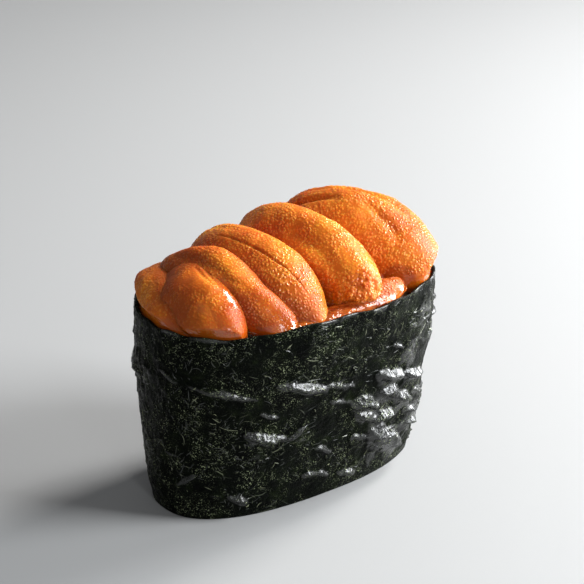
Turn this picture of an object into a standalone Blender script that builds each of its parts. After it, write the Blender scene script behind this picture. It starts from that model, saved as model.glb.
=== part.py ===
# Sea urchin sushi: an oval block of rice, a dark seaweed band wrapped round it, and soft lobes of sea
# urchin laid across the top. Metres, +Z up, origin under the middle of the band, -Y is the side shown.
import math
import random

import bmesh
import bpy
from mathutils import Matrix, Vector

# Seaweed band: an oval tube that is narrow at the foot and flares to the rim.
BAND_HEIGHT = 0.0330
BAND_WALL = 0.0005
FOOT_HALF_LENGTH = 0.0235
FOOT_HALF_WIDTH = 0.0116
FOOT_SHIFT = 0.0006
WAIST_HALF_LENGTH = 0.0252
WAIST_HALF_WIDTH = 0.0142
RIM_HALF_LENGTH = 0.0255
RIM_HALF_WIDTH = 0.0164
RIM_SHIFT = -0.0008
OVAL_POWER = 2.4
RIM_WAVE = 0.0004

# The strip laps over itself on the back, where its outer end shows as a step.
LAP_START = math.radians(28)
LAP_END = math.radians(62)
LAP_STEP = 0.0004

# Rice: a pressed block with a domed top and grain marks under it.
FIT_GAP = 0.0003
RICE_EDGE_HEIGHT = 0.0300
RICE_DOME = 0.0045
CORE_FOOT = 0.0012
GRAIN_LENGTH = 0.0052
GRAIN_WIDTH = 0.0024
GRAIN_TURN = 0.35
GRAIN_LIFT = 0.0001
WALL_GRAINS = 18
GRAIN_SEED = 3

# Mesh fineness.
BAND_COLUMNS = 80
BAND_ROWS = 13
RICE_COLUMNS = 48
GRAIN_SIDES = 6
GRAIN_BANDS = 4
LOBE_RINGS = 20
LOBE_SIDES = 18

# Creases of the band as places on the shown side: x and z of the middle, half length, fall from end
# to end, how far the ridge stands out, and half its width up the wall.
CREASES = (
    (-0.0175, 0.0238, 0.0050, -0.0018, 0.0007, 0.0010),
    (-0.0040, 0.0214, 0.0062, -0.0016, 0.0006, 0.0012),
    (-0.0105, 0.0146, 0.0058, -0.0020, 0.0008, 0.0012),
    (0.0060, 0.0164, 0.0034, -0.0018, 0.0007, 0.0009),
    (0.0086, 0.0126, 0.0040, -0.0010, 0.0008, 0.0010),
    (0.0122, 0.0164, 0.0032, -0.0008, 0.0006, 0.0009),
    (0.0140, 0.0072, 0.0040, -0.0046, 0.0009, 0.0018),
    (0.0152, 0.0188, 0.0050, -0.0026, 0.0008, 0.0011),
    (-0.0226, 0.0270, 0.0030, -0.0012, 0.0006, 0.0012),
    (-0.0222, 0.0120, 0.0034, 0.0010, 0.0007, 0.0014),
)
BACK_CREASES = 9
CREASE_SEED = 7

# Each lobe: name, the line through its middle from the back tip to the front tip, half width, half
# thickness, roll about its line in degrees, and its groove's place round it and depth.
LOBES = (
    (
        "lobe_left_end",
        ((-0.0128, 0.0136, 0.0318), (-0.0168, 0.0092, 0.0346), (-0.0194, 0.0034, 0.0350),
         (-0.0200, -0.0030, 0.0338), (-0.0188, -0.0096, 0.0312)),
        0.0048, 0.0036, 8, 0.9, 0.0,
    ),
    (
        "lobe_front_left",
        ((-0.0140, 0.0070, 0.0345), (-0.0165, 0.0026, 0.0366), (-0.0178, -0.0024, 0.0364),
         (-0.0179, -0.0076, 0.0350), (-0.0170, -0.0132, 0.0326)),
        0.0054, 0.0039, 14, 0.9, 0.0,
    ),
    (
        "lobe_crossing",
        ((-0.0175, 0.0122, 0.0325), (-0.0160, 0.0062, 0.0362), (-0.0138, -0.0010, 0.0376),
         (-0.0126, -0.0085, 0.0350), (-0.0088, -0.0165, 0.0308)),
        0.0047, 0.0038, 16, 1.2, 0.0,
    ),
    (
        "lobe_middle",
        ((-0.0082, 0.0158, 0.0318), (-0.0074, 0.0098, 0.0366), (-0.0058, 0.0010, 0.0384),
         (-0.0052, -0.0082, 0.0362), (-0.0052, -0.0168, 0.0310)),
        0.0067, 0.0041, 18, 1.15, 0.0007,
    ),
    (
        "lobe_right",
        ((0.0012, 0.0160, 0.0320), (0.0034, 0.0100, 0.0370), (0.0054, 0.0012, 0.0390),
         (0.0056, -0.0080, 0.0364), (0.0038, -0.0166, 0.0318)),
        0.0064, 0.0041, 18, 1.9, 0.0003,
    ),
    (
        "lobe_right_end",
        ((0.0118, 0.0148, 0.0320), (0.0134, 0.0096, 0.0372), (0.0160, 0.0014, 0.0386),
         (0.0178, -0.0062, 0.0362), (0.0172, -0.0138, 0.0320)),
        0.0070, 0.0042, 12, 1.2, 0.0007,
    ),
    (
        "lobe_fragment",
        ((-0.0062, -0.0136, 0.0312), (-0.0010, -0.0140, 0.0316), (0.0045, -0.0138, 0.0320),
         (0.0095, -0.0130, 0.0330), (0.0142, -0.0112, 0.0330)),
        0.0027, 0.0021, 0, 1.2, 0.0,
    ),
)


def clear_scene():
    for obj in list(bpy.data.objects):
        bpy.data.objects.remove(obj)


def finish_material(name, colour, roughness):
    material = bpy.data.materials.new(name)
    material.use_nodes = True
    shader = material.node_tree.nodes["Principled BSDF"]
    shader.inputs["Base Color"].default_value = (*colour, 1.0)
    shader.inputs["Roughness"].default_value = roughness
    return material


def three_level(foot, waist, rim, share):
    """The value at a share of the band's height, on the parabola through foot, waist and rim."""
    return (
        foot * (1 - share) * (1 - 2 * share)
        + waist * 4 * share * (1 - share)
        + rim * share * (2 * share - 1)
    )


def oval_radius(angle):
    """A superellipse's radius at an angle, for half axes of one."""
    across = abs(math.cos(angle)) ** OVAL_POWER + abs(math.sin(angle)) ** OVAL_POWER
    return across ** (-1 / OVAL_POWER)


def oval_point(angle, height):
    share = height / BAND_HEIGHT
    half_length = three_level(FOOT_HALF_LENGTH, WAIST_HALF_LENGTH, RIM_HALF_LENGTH, share)
    half_width = three_level(FOOT_HALF_WIDTH, WAIST_HALF_WIDTH, RIM_HALF_WIDTH, share)
    shift = FOOT_SHIFT + (RIM_SHIFT - FOOT_SHIFT) * share
    radius = oval_radius(angle)
    x = half_length * math.cos(angle) * radius
    y = half_width * math.sin(angle) * radius + shift
    return Vector((x, y, height))


def wall_point(angle, height, outward):
    """A point on the band's oval, moved out along the level normal."""
    step = 1e-3
    along = oval_point(angle + step, height) - oval_point(angle - step, height)
    normal = Vector((along.y, -along.x, 0)).normalized()
    return oval_point(angle, height) + normal * outward


def shown_side_angle(x):
    """The oval's angle of the point at x on the -Y side."""
    share = max(-0.98, min(0.98, x / WAIST_HALF_LENGTH))
    return -math.atan2((1 - abs(share) ** OVAL_POWER) ** (1 / OVAL_POWER), share)


def all_creases():
    """Every crease as angle, height, half angle, fall, rise and half width."""
    draw = random.Random(CREASE_SEED)
    creases = []
    for x, z, half_length, fall, rise, half_width in CREASES:
        start, end = shown_side_angle(x - half_length), shown_side_angle(x + half_length)
        creases.append(((start + end) / 2, z, abs(end - start) / 2, fall, rise, half_width))
    for index in range(BACK_CREASES):
        angle = math.radians(15 + 150 * (index + draw.random()) / BACK_CREASES)
        height = draw.uniform(0.006, 0.026)
        fall = draw.uniform(-0.002, 0.002)
        rise = draw.uniform(0.0005, 0.0008)
        creases.append((angle, height, draw.uniform(0.15, 0.4), fall, rise, 0.0012))
    return creases


def crease_rise(angle, height, creases):
    """How far the band stands out where creases pass: a rounded ridge, fading at its ends."""
    total = 0.0
    for middle, level, half_angle, fall, rise, half_width in creases:
        turn = (angle - middle + math.pi) % (2 * math.pi) - math.pi
        along = turn / half_angle
        up = (height - level - fall * along / 2) / half_width
        total += rise * math.exp(-(along**2)) * math.exp(-(up**2))
    return total


def lap_rise(angle):
    """The second layer's thickness, rising gently at the inner end and ending in a step."""
    if not LAP_START <= angle <= LAP_END:
        return 0.0
    return LAP_STEP * min(1.0, (angle - LAP_START) / (0.25 * (LAP_END - LAP_START)))


def rim_height(angle):
    wave = math.sin(3 * angle + 0.6) + 0.6 * math.sin(7 * angle + 2.0)
    return BAND_HEIGHT + RIM_WAVE * wave


def column_angles():
    """Even columns, with one more just past the lap's end to make its step sharp."""
    even = [2 * math.pi * index / BAND_COLUMNS for index in range(BAND_COLUMNS)]
    return sorted(even + [LAP_END, LAP_END + 0.004])


def skin(rings, closed_loop):
    """A closed surface over rings of points. Rings of one point are poles."""
    shape = bmesh.new()
    rows = [[shape.verts.new(point) for point in ring] for ring in rings]
    pairs = list(zip(rows, rows[1:]))
    if closed_loop:
        pairs.append((rows[-1], rows[0]))
    for lower, upper in pairs:
        count = max(len(lower), len(upper))
        for index in range(count):
            following = (index + 1) % count
            corners = [
                lower[index % len(lower)],
                lower[following % len(lower)],
                upper[following % len(upper)],
                upper[index % len(upper)],
            ]
            shape.faces.new(list(dict.fromkeys(corners)))
    bmesh.ops.recalc_face_normals(shape, faces=shape.faces)
    bmesh.ops.triangulate(shape, faces=shape.faces)
    return shape


def add_object(name, shape, material):
    mesh = bpy.data.meshes.new(name)
    shape.to_mesh(mesh)
    shape.free()
    mesh.shade_smooth()
    mesh.set_sharp_from_angle(angle=math.radians(50))
    obj = bpy.data.objects.new(name, mesh)
    bpy.context.scene.collection.objects.link(obj)
    if material:
        mesh.materials.append(material)
    return obj


def add_cutter(name, shape):
    cutter = add_object(name, shape, None)
    cutter.hide_render = True
    cutter.display_type = "WIRE"
    return cutter


def cut(obj, cutter):
    modifier = obj.modifiers.new("cut_" + cutter.name, "BOOLEAN")
    modifier.operation = "DIFFERENCE"
    modifier.object = cutter


def settle(obj):
    """Applies the cuts, and drops any loose scrap that they leave."""
    graph = bpy.context.evaluated_depsgraph_get()
    shape = bmesh.new()
    shape.from_object(obj, graph)
    unseen = set(shape.verts)
    islands = []
    while unseen:
        edge_of_search = [unseen.pop()]
        island = set(edge_of_search)
        while edge_of_search:
            vert = edge_of_search.pop()
            for edge in vert.link_edges:
                other = edge.other_vert(vert)
                if other in unseen:
                    unseen.remove(other)
                    island.add(other)
                    edge_of_search.append(other)
        islands.append(island)
    largest = max(islands, key=len)
    scraps = [vert for island in islands if island is not largest for vert in island]
    bmesh.ops.delete(shape, geom=scraps, context="VERTS")
    bmesh.ops.dissolve_degenerate(shape, dist=1e-6, edges=shape.edges)
    bmesh.ops.triangulate(shape, faces=shape.faces)
    obj.modifiers.clear()
    shape.to_mesh(obj.data)
    shape.free()
    obj.data.shade_smooth()
    obj.data.set_sharp_from_angle(angle=math.radians(50))


def band_shape(grow, below):
    """The band's wall as columns that run up the outside, over the rim and down the inside."""
    creases = all_creases()
    rings = []
    for angle in column_angles():
        top = rim_height(angle) + grow
        outside, inside = [], []
        for row in range(BAND_ROWS):
            height = -below + (top + below) * row / (BAND_ROWS - 1)
            level = max(0.0, min(height, BAND_HEIGHT))
            rise = crease_rise(angle, level, creases)
            outer = wall_point(angle, level, grow + rise + lap_rise(angle))
            inner = wall_point(angle, level, -BAND_WALL - grow)
            outside.append(Vector((outer.x, outer.y, height)))
            inside.append(Vector((inner.x, inner.y, height)))
        rings.append(outside + inside[:: -(BAND_ROWS // 4)])
    return skin(rings, True)


def band(material):
    return add_object("seaweed_band", band_shape(0.0, 0.0), material)


def inside_foot(x, y, margin):
    """True where a point lies within the band's foot, by at least the margin."""
    across = abs(x / (FOOT_HALF_LENGTH - margin)) ** OVAL_POWER
    across += abs((y - FOOT_SHIFT) / (FOOT_HALF_WIDTH - margin)) ** OVAL_POWER
    return across < 1


def grain_seats():
    """Places and directions of the grains in the foot: one row round the wall, then staggered rows."""
    draw = random.Random(GRAIN_SEED)
    seats = []
    for index in range(WALL_GRAINS):
        angle = 2 * math.pi * (index + 0.2 * draw.random()) / WALL_GRAINS
        place = wall_point(angle, 0.0, -BAND_WALL - FIT_GAP - GRAIN_WIDTH / 2)
        ahead = wall_point(angle + 0.02, 0.0, 0.0) - wall_point(angle - 0.02, 0.0, 0.0)
        seats.append((place.x, place.y, math.atan2(ahead.y, ahead.x)))
    rows = int(FOOT_HALF_WIDTH / GRAIN_WIDTH)
    columns = int(FOOT_HALF_LENGTH / GRAIN_LENGTH) + 1
    for row in range(-rows, rows + 1):
        for column in range(-columns, columns + 1):
            x = (column + 0.5 * (row % 2) + 0.12 * draw.uniform(-1, 1)) * GRAIN_LENGTH
            y = FOOT_SHIFT + (row + 0.1 * draw.uniform(-1, 1)) * GRAIN_WIDTH
            turn = draw.uniform(-GRAIN_TURN, GRAIN_TURN)
            ends = [(x + side * math.cos(turn) * GRAIN_LENGTH / 2, y) for side in (-1, 1)]
            if all(inside_foot(*end, GRAIN_WIDTH * 1.2) for end in ends):
                seats.append((x, y, turn))
    return seats


def grain_shape(x, y, turn):
    """A plump rice grain with few sides, lying with its lowest point just above the table."""
    shape = bmesh.new()
    bmesh.ops.create_uvsphere(shape, u_segments=GRAIN_SIDES, v_segments=GRAIN_BANDS, radius=0.5)
    lay_down = Matrix.Rotation(math.pi / 2, 4, "Y")
    size = Matrix.Diagonal((GRAIN_LENGTH, GRAIN_WIDTH, GRAIN_WIDTH, 1))
    place = Matrix.Translation((x, y, GRAIN_WIDTH / 2 + GRAIN_LIFT)) @ Matrix.Rotation(turn, 4, "Z")
    bmesh.ops.transform(shape, matrix=place @ size @ lay_down, verts=shape.verts)
    return shape


def rice(material):
    """The pressed block, with the grains that show under it fused on."""
    inset = BAND_WALL + FIT_GAP
    angles = [2 * math.pi * index / RICE_COLUMNS for index in range(RICE_COLUMNS)]
    rings = [[Vector((0, FOOT_SHIFT, CORE_FOOT))]]
    for height in (CORE_FOOT, *(RICE_EDGE_HEIGHT * share for share in (0.35, 0.7, 1.0))):
        rings.append([wall_point(angle, height, -inset) for angle in angles])
    rim = rings[-1]
    for share in (0.8, 0.55, 0.3):
        lift = RICE_EDGE_HEIGHT + RICE_DOME * (1 - share**2)
        rings.append([Vector((p.x * share, p.y * share, lift)) for p in rim])
    rings.append([Vector((0, 0, RICE_EDGE_HEIGHT + RICE_DOME))])
    block = add_object("rice_block", skin(rings, False), material)
    grains = bpy.data.collections.new("grains")
    for index, seat in enumerate(grain_seats()):
        grain = add_object(f"grain_{index}", grain_shape(*seat), material)
        bpy.context.scene.collection.objects.unlink(grain)
        grains.objects.link(grain)
    fuse = block.modifiers.new("fuse_grains", "BOOLEAN")
    fuse.operation = "UNION"
    fuse.operand_type = "COLLECTION"
    fuse.collection = grains
    bpy.context.view_layer.update()
    settle(block)
    for grain in list(grains.objects):
        bpy.data.objects.remove(grain)
    bpy.data.collections.remove(grains)
    return block


def spine_point(points, share):
    """A smooth curve through the points, by Catmull and Rom's cubic, at a share of its length."""
    spans = len(points) - 1
    place = min(share * spans, spans - 1e-9)
    index = int(place)
    t = place - index
    knots = [Vector(points[max(0, min(spans, index + step))]) for step in (-1, 0, 1, 2)]
    before, start, end, after = knots
    if index == 0:
        before = 2 * start - end
    if index == spans - 1:
        after = 2 * end - start
    return 0.5 * (
        2 * start
        + (end - before) * t
        + (2 * before - 5 * start + 4 * end - after) * t**2
        + (3 * start - before - 3 * end + after) * t**3
    )


def lobe_shape(points, half_width, half_thickness, roll, groove_at, groove_depth, grow):
    """A tongue: flattened rings along its line, closing to a point at each blunt tip."""
    rings = [[spine_point(points, 0.0)]]
    for ring in range(1, LOBE_RINGS):
        share = (1 - math.cos(math.pi * ring / LOBE_RINGS)) / 2
        centre = spine_point(points, share)
        along = spine_point(points, min(1, share + 0.01)) - spine_point(points, max(0, share - 0.01))
        side = Vector((0, 0, 1)).cross(along).normalized()
        up = along.cross(side).normalized()
        turn = math.radians(roll)
        right = side * math.cos(turn) + up * math.sin(turn)
        over = up * math.cos(turn) - side * math.sin(turn)
        taper = (1 - abs(2 * share - 1) ** 2.6) ** (1 / 2.2)
        points_round = []
        for corner in range(LOBE_SIDES):
            angle = 2 * math.pi * corner / LOBE_SIDES
            swell = 1 + 0.04 * math.sin(5 * share * math.pi + 3 * angle + roll)
            dip = groove_depth * math.exp(-(((angle - groove_at) / 0.22) ** 2)) * taper
            across = (half_width * taper * swell + grow - dip * math.cos(angle)) * math.cos(angle)
            rise = (half_thickness * taper * swell + grow - dip) * math.sin(angle)
            points_round.append(centre + right * across + over * rise)
        rings.append(points_round)
    rings.append([spine_point(points, 1.0)])
    return skin(rings, False)


def centre_on_origin():
    """Moves every solid alike, so that the middle of the whole stands over the origin."""
    solids = [obj for obj in bpy.data.objects if not obj.hide_render]
    points = [vertex.co for obj in solids for vertex in obj.data.vertices]
    middle_x = (min(p.x for p in points) + max(p.x for p in points)) / 2
    middle_y = (min(p.y for p in points) + max(p.y for p in points)) / 2
    for obj in bpy.data.objects:
        obj.data.transform(Matrix.Translation((-middle_x, -middle_y, 0)))


def build():
    clear_scene()
    seaweed = finish_material("seaweed", (0.010, 0.016, 0.010), 0.45)
    grain = finish_material("rice", (0.80, 0.76, 0.66), 0.4)
    urchin = finish_material("sea_urchin", (0.80, 0.30, 0.05), 0.35)
    band(seaweed)
    block = rice(grain)
    band_cutter = add_cutter("band_room", band_shape(FIT_GAP, FIT_GAP))
    cutters, lobes = [], []
    for name, *measures in LOBES:
        lobe = add_object(name, lobe_shape(*measures, 0.0), urchin)
        cut(lobe, band_cutter)
        for cutter in cutters:
            cut(lobe, cutter)
        room = add_cutter(name + "_room", lobe_shape(*measures, FIT_GAP))
        cut(block, room)
        cutters.append(room)
        lobes.append(lobe)
    bpy.context.view_layer.update()
    for obj in (block, *lobes):
        settle(obj)
    centre_on_origin()


build()
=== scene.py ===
# %% [markdown]
# # Sea urchin sushi
# This lesson dresses a small boat of sushi: a tall black-green seaweed band, rice inside it, and soft
# orange tongues of sea urchin laid across the top. Every visible surface is a grid of points worked
# out with numpy, because soft food has no edges to extrude. The frame gives the solids that the dressed
# pieces stand for, so it is loaded first.

# %% Load the frame
import math

import bpy
import numpy as np
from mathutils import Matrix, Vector


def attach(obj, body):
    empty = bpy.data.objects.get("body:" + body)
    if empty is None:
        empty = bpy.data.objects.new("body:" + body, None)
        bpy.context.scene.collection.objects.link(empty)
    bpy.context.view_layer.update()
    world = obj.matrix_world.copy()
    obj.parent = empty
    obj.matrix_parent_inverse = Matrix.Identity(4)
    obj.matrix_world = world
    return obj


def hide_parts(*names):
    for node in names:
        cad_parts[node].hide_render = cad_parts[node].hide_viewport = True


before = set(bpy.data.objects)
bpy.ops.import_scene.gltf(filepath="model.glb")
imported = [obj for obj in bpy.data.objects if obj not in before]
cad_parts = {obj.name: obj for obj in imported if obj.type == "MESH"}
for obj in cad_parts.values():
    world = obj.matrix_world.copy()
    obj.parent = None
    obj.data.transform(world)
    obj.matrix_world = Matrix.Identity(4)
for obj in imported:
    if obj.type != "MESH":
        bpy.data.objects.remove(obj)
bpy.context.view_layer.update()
MM = 0.001
print("solids:", sorted(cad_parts))

# %% [markdown]
# ## Camera
# The piece is seen from its front left, from a little above, through a long lens. The lens is so long
# that the sides hardly converge. The camera looks straight at a point over the table instead of being
# shifted, so it can be turned to any other view.

# %% Camera
CAMERA_AZIMUTH = math.radians(-37)
CAMERA_ELEVATION = math.radians(28.5)
CAMERA_DISTANCE = 320 * MM
CAMERA_LENS_MM = 119.9
AIM_RIGHT = 1.15 * MM
AIM_UP = 28.6 * MM

towards_camera = Vector((
    math.sin(CAMERA_AZIMUTH) * math.cos(CAMERA_ELEVATION),
    -math.cos(CAMERA_AZIMUTH) * math.cos(CAMERA_ELEVATION),
    math.sin(CAMERA_ELEVATION),
))
picture_right = Vector((math.cos(CAMERA_AZIMUTH), math.sin(CAMERA_AZIMUTH), 0))
picture_up = towards_camera.cross(picture_right)
camera = bpy.data.objects.new("camera", bpy.data.cameras.new("camera"))
bpy.context.scene.collection.objects.link(camera)
camera.location = towards_camera * CAMERA_DISTANCE
aim = picture_right * AIM_RIGHT + picture_up * AIM_UP
camera.rotation_euler = (aim - camera.location).to_track_quat("-Z", "Y").to_euler()
camera.data.lens = CAMERA_LENS_MM
camera.data.sensor_width = 36
camera.data.clip_start = 0.01
bpy.context.scene.camera = camera
print("camera aims", tuple(round(value / MM, 1) for value in aim), "mm")

# %% [markdown]
# ## Light
# A small key light stands high on the right and makes the wet grains of the urchin sparkle. Two tall
# lights stand where the ledges of the seaweed mirror them to the camera, one for the ledges of the
# front and one for those of the right end. Two weak ones keep the left from going black. The floor is
# pale and plain, and a dim sky fills what is left.

# %% Lights and floor
PIECE_MIDDLE = Vector((0, 0, 25 * MM))
FLOOR_DROP = 0.1 * MM


def area_light(name, place, width, height, watts, colour):
    """A flat light of a width and a height, at a place in metres, turned to face the middle of the piece."""
    lamp = bpy.data.lights.new(name, "AREA")
    lamp.shape = "RECTANGLE"
    lamp.size = width
    lamp.size_y = height
    lamp.energy = watts
    lamp.color = colour
    stand = bpy.data.objects.new(name, lamp)
    bpy.context.scene.collection.objects.link(stand)
    stand.location = place
    facing = PIECE_MIDDLE - Vector(place)
    stand.rotation_euler = facing.to_track_quat("-Z", "Y").to_euler()


def plain_material(name, colour, roughness):
    """A plain Principled surface for what is not food."""
    material = bpy.data.materials.new(name)
    material.use_nodes = True
    shader = material.node_tree.nodes["Principled BSDF"]
    shader.inputs["Base Color"].default_value = (*colour, 1)
    shader.inputs["Roughness"].default_value = roughness
    return material


def stage_floor(half_side, colour):
    """A pale square for the piece to stand on: it is the stage, and no part of the food."""
    corners = [(x * half_side, y * half_side, -FLOOR_DROP) for x, y in ((-1, -1), (1, -1), (1, 1), (-1, 1))]
    mesh = bpy.data.meshes.new("floor")
    mesh.from_pydata(corners, [], [(0, 1, 2, 3)])
    mesh.materials.append(plain_material("pale_floor", colour, 0.7))
    floor = bpy.data.objects.new("floor", mesh)
    bpy.context.scene.collection.objects.link(floor)


WARM_WHITE = (1.0, 0.985, 0.96)
COOL_WHITE = (0.95, 0.98, 1.0)
SIDE_WHITE = (0.96, 0.98, 1.0)
FILL_WHITE = (0.95, 0.97, 1.0)
LIGHTS = {
    "key_light": dict(place=(0.36, 0.02, 0.36), width=0.11, height=0.11, watts=2.0, colour=WARM_WHITE),
    "side_light": dict(place=(0.44, -0.03, 0.13), width=0.12, height=0.30, watts=3.0, colour=SIDE_WHITE),
    "crease_light": dict(place=(0.29, -0.31, 0.26), width=0.20, height=0.32, watts=4.3, colour=COOL_WHITE),
    "left_light": dict(place=(-0.12, -0.44, 0.23), width=0.05, height=0.20, watts=0.3, colour=COOL_WHITE),
    "fill_light": dict(place=(-0.35, -0.45, 0.30), width=0.40, height=0.40, watts=0.2, colour=FILL_WHITE),
}
FLOOR_HALF_SIDE = 2.0
FLOOR_GREY = (0.37, 0.37, 0.37)
SKY_COLOUR = (0.86, 0.88, 0.90, 1)
SKY_STRENGTH = 0.21

for light_name, setting in LIGHTS.items():
    area_light(light_name, **setting)
stage_floor(FLOOR_HALF_SIDE, FLOOR_GREY)
world = bpy.data.worlds.new("studio")
world.use_nodes = True
sky = world.node_tree.nodes["Background"]
sky.inputs["Color"].default_value = SKY_COLOUR
sky.inputs["Strength"].default_value = SKY_STRENGTH
bpy.context.scene.world = world
bpy.context.scene.view_settings.view_transform = "Standard"
print("lights:", ", ".join(LIGHTS))

# %% [markdown]
# ## Noise
# Food is uneven at every scale. Two kinds of noise give all of its relief. Value noise draws a random
# number at each corner of a lattice and blends between them: it gives swells and creases. Cell noise
# scatters one seed in each cell and measures the distance to the nearest: it gives grains and pores.

# %% Noise over whole arrays
CELL_PRIMES = (73856093, 19349663, 83492791)
SEED_PRIME = 2654435761
MIX_PRIMES = (2246822519, 3266489917)
LOW_BITS = 0xFFFFFFFF


def lattice_random(cells, seed):
    """Random numbers from 0 to 1 for whole-number cells (N, 3), by multiplying and mixing their bits."""
    cells = cells.astype(np.int64)
    x, y, z = (cells[..., axis] * prime for axis, prime in enumerate(CELL_PRIMES))
    mixed = x ^ y ^ z ^ seed * SEED_PRIME
    mixed = (mixed & LOW_BITS) * MIX_PRIMES[0] & LOW_BITS
    mixed = (mixed ^ mixed >> 13) * MIX_PRIMES[1] & LOW_BITS
    return (mixed ^ mixed >> 16) / LOW_BITS


def value_noise(points, size, seed):
    """Smooth noise from -1 to 1: corner values r blended by w = t*t*(3 - 2t) along each axis."""
    scaled = points / size
    base = np.floor(scaled)
    blend = scaled - base
    blend = blend * blend * (3 - 2 * blend)
    total = 0
    for corner in np.ndindex(2, 2, 2):
        offset = np.array(corner)
        weight = np.prod(np.where(offset == 1, blend, 1 - blend), axis=-1)
        total = total + weight * lattice_random(base + offset, seed)
    return 2 * total - 1


def layered_noise(points, size, seed, layers):
    """Sum of value noise at sizes s, s/2, s/4 and so on, each half as strong as the last."""
    total = 0
    for layer in range(layers):
        total = total + value_noise(points, size / 2**layer, seed + layer) / 2**layer
    return total / (2 - 2.0 ** (1 - layers))


def cell_noise(points, size, seed):
    """Distance to the nearest scattered seed, in cells: the least |p - (cell + random)|."""
    scaled = points / size
    base = np.floor(scaled)
    nearest = np.full(points.shape[:-1], np.inf)
    for corner in np.ndindex(3, 3, 3):
        cell = base + np.array(corner) - 1
        seeds = cell + np.stack([lattice_random(cell, seed + axis) for axis in (11, 23, 37)], axis=-1)
        nearest = np.minimum(nearest, np.sum((scaled - seeds) ** 2, axis=-1))
    return np.sqrt(nearest)


print("noise at the origin:", round(float(value_noise(np.zeros((1, 3)), 1.0, 1)[0]), 3))

# %% [markdown]
# ## From grid to mesh
# A surface here is an array of rows and columns of points. These helpers turn it into a smooth mesh,
# with its faces outwards, its poles closed, and numbers stored on its points for the materials.

# %% Grid helpers
def unit(vectors):
    """Vectors scaled to length one."""
    return vectors / np.maximum(np.linalg.norm(vectors, axis=-1, keepdims=True), 1e-12)


def grid_normals(grid):
    """Unit normals of a grid (rows, columns, 3) whose columns wrap: d/dcolumn x d/drow."""
    across = np.roll(grid, -1, axis=1) - np.roll(grid, 1, axis=1)
    return unit(np.cross(across, np.gradient(grid, axis=0)))


def grid_faces(rows, columns, wrap_rows=False):
    """Quads between neighbouring points, with the last column joined to the first."""
    row = np.arange(rows if wrap_rows else rows - 1)[:, None]
    column = np.arange(columns)[None, :]
    following = (column + 1) % columns
    above = (row + 1) % rows
    lower = [row * columns + column, row * columns + following]
    upper = [above * columns + following, above * columns + column]
    corners = [np.broadcast_to(part, (len(row), columns)) for part in lower + upper]
    return np.stack(corners, axis=-1).reshape(-1, 4)


def place_mesh(mesh, material, nodes=()):
    """Smooths a mesh into a piece of the one body, which stands for the named solids of the frame."""
    mesh.shade_smooth()
    mesh.materials.append(material)
    piece = bpy.data.objects.new(mesh.name, mesh)
    bpy.context.scene.collection.objects.link(piece)
    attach(piece, "root")
    if nodes:
        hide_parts(*nodes)
    print(mesh.name, len(mesh.vertices), "points")


def add_piece(name, grid, material, nodes=(), attributes=None, wrap_rows=False, caps=False):
    """One smooth piece from a grid, with numbers on its points and a fan of triangles over each end."""
    rows, columns = grid.shape[:2]
    points = grid.reshape(-1, 3)
    faces = [tuple(face) for face in grid_faces(rows, columns, wrap_rows).tolist()]
    if caps:
        points = np.vstack([points, grid[0].mean(axis=0), grid[-1].mean(axis=0)])
        last = (rows - 1) * columns
        for column in range(columns):
            following = (column + 1) % columns
            faces.append((len(points) - 2, following, column))
            faces.append((len(points) - 1, last + column, last + following))
    mesh = bpy.data.meshes.new(name)
    mesh.from_pydata(points.tolist(), [], faces)
    for label, values in (attributes or {}).items():
        numbers = np.zeros(len(points), dtype=np.float32)
        numbers[: values.size] = values.reshape(-1)
        mesh.attributes.new(label, "FLOAT", "POINT").data.foreach_set("value", numbers)
    place_mesh(mesh, material, nodes)


# %% [markdown]
# ## Material tools
# Each finish is a Principled shader whose inputs come from noise in Object coordinates and from the
# numbers stored on the mesh. These helpers keep the finishes short: each adds one node with its
# settings, links what it reads, and gives back the socket that the next node reads.

# %% Material tools
def new_finish(name):
    """A material with its tree, its Principled shader and its Object coordinates."""
    material = bpy.data.materials.new(name)
    material.use_nodes = True
    tree = material.node_tree
    coordinates = tree.nodes.new("ShaderNodeTexCoord").outputs["Object"]
    return material, tree, tree.nodes["Principled BSDF"], coordinates


def link(tree, source, target):
    """Joins an output socket to an input socket."""
    tree.links.new(source, target)


def grey(value):
    """A colour ramp's stop that carries a plain number: the same value in red, green and blue."""
    return (value, value, value)


def noise_node(tree, coordinates, scale, detail, roughness=0.55):
    """Blender's own noise, for detail finer than the mesh. Scale is in turns per metre."""
    node = tree.nodes.new("ShaderNodeTexNoise")
    node.inputs["Scale"].default_value = scale
    node.inputs["Detail"].default_value = detail
    node.inputs["Roughness"].default_value = roughness
    link(tree, coordinates, node.inputs["Vector"])
    return node.outputs["Fac"]


def ramp_node(tree, source, stops):
    """A colour ramp: stops are pairs of a place from 0 to 1 and a colour."""
    node = tree.nodes.new("ShaderNodeValToRGB")
    elements = node.color_ramp.elements
    for place, colour in stops[2:]:
        elements.new(place)
    for element, (place, colour) in zip(elements, sorted(stops)):
        element.position = place
        element.color = (*colour, 1)
    link(tree, source, node.inputs["Fac"])
    return node.outputs["Color"]


def mix_colours(tree, amount, first, second, mode="MIX"):
    """A blend of two colours by an amount, which may be a socket or a number."""
    node = tree.nodes.new("ShaderNodeMix")
    node.data_type = "RGBA"
    node.blend_type = mode
    for socket, value in zip((node.inputs[0], node.inputs[6], node.inputs[7]), (amount, first, second)):
        if isinstance(value, (int, float)):
            socket.default_value = value
        elif isinstance(value, tuple):
            socket.default_value = (*value, 1)
        else:
            link(tree, value, socket)
    return node.outputs[2]


def arithmetic(tree, operation, first, second):
    """One step of arithmetic on sockets or numbers."""
    node = tree.nodes.new("ShaderNodeMath")
    node.operation = operation
    for socket, value in zip(node.inputs, (first, second)):
        if isinstance(value, (int, float)):
            socket.default_value = value
        else:
            link(tree, value, socket)
    return node.outputs[0]


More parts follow.
